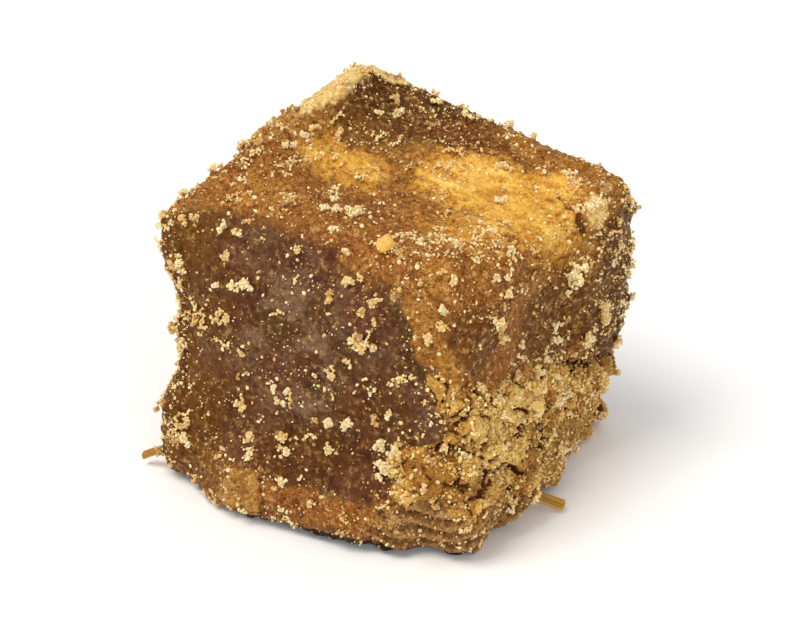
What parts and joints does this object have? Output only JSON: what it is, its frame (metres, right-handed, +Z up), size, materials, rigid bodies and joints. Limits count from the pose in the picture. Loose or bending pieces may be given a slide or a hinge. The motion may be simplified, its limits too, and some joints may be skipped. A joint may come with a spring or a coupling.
{
  "type": "jaggery block",
  "caption": "Rough hand-cut cube of dark jaggery, with cast skins front and back, a crumbly broken lower side and loose sugar crumbs stuck to it.",
  "frame": {"origin": "a point in the middle of the flat foot, on the surface that the block stands on", "axes": "+Z up from the foot; the slab's two cast skins face -Y and +Y; the crumbly broken side faces +X"},
  "size_m": [0.0297, 0.0277, 0.0257],
  "materials": {
    "jaggery": "semi-matt, grainy boiled sugar: purple-brown cast skin, honey to olive-brown inside, pale tan crumbs"
  },
  "bodies": {
    "root": {"jaggery_block": "jaggery"}
  },
  "joints": []
}
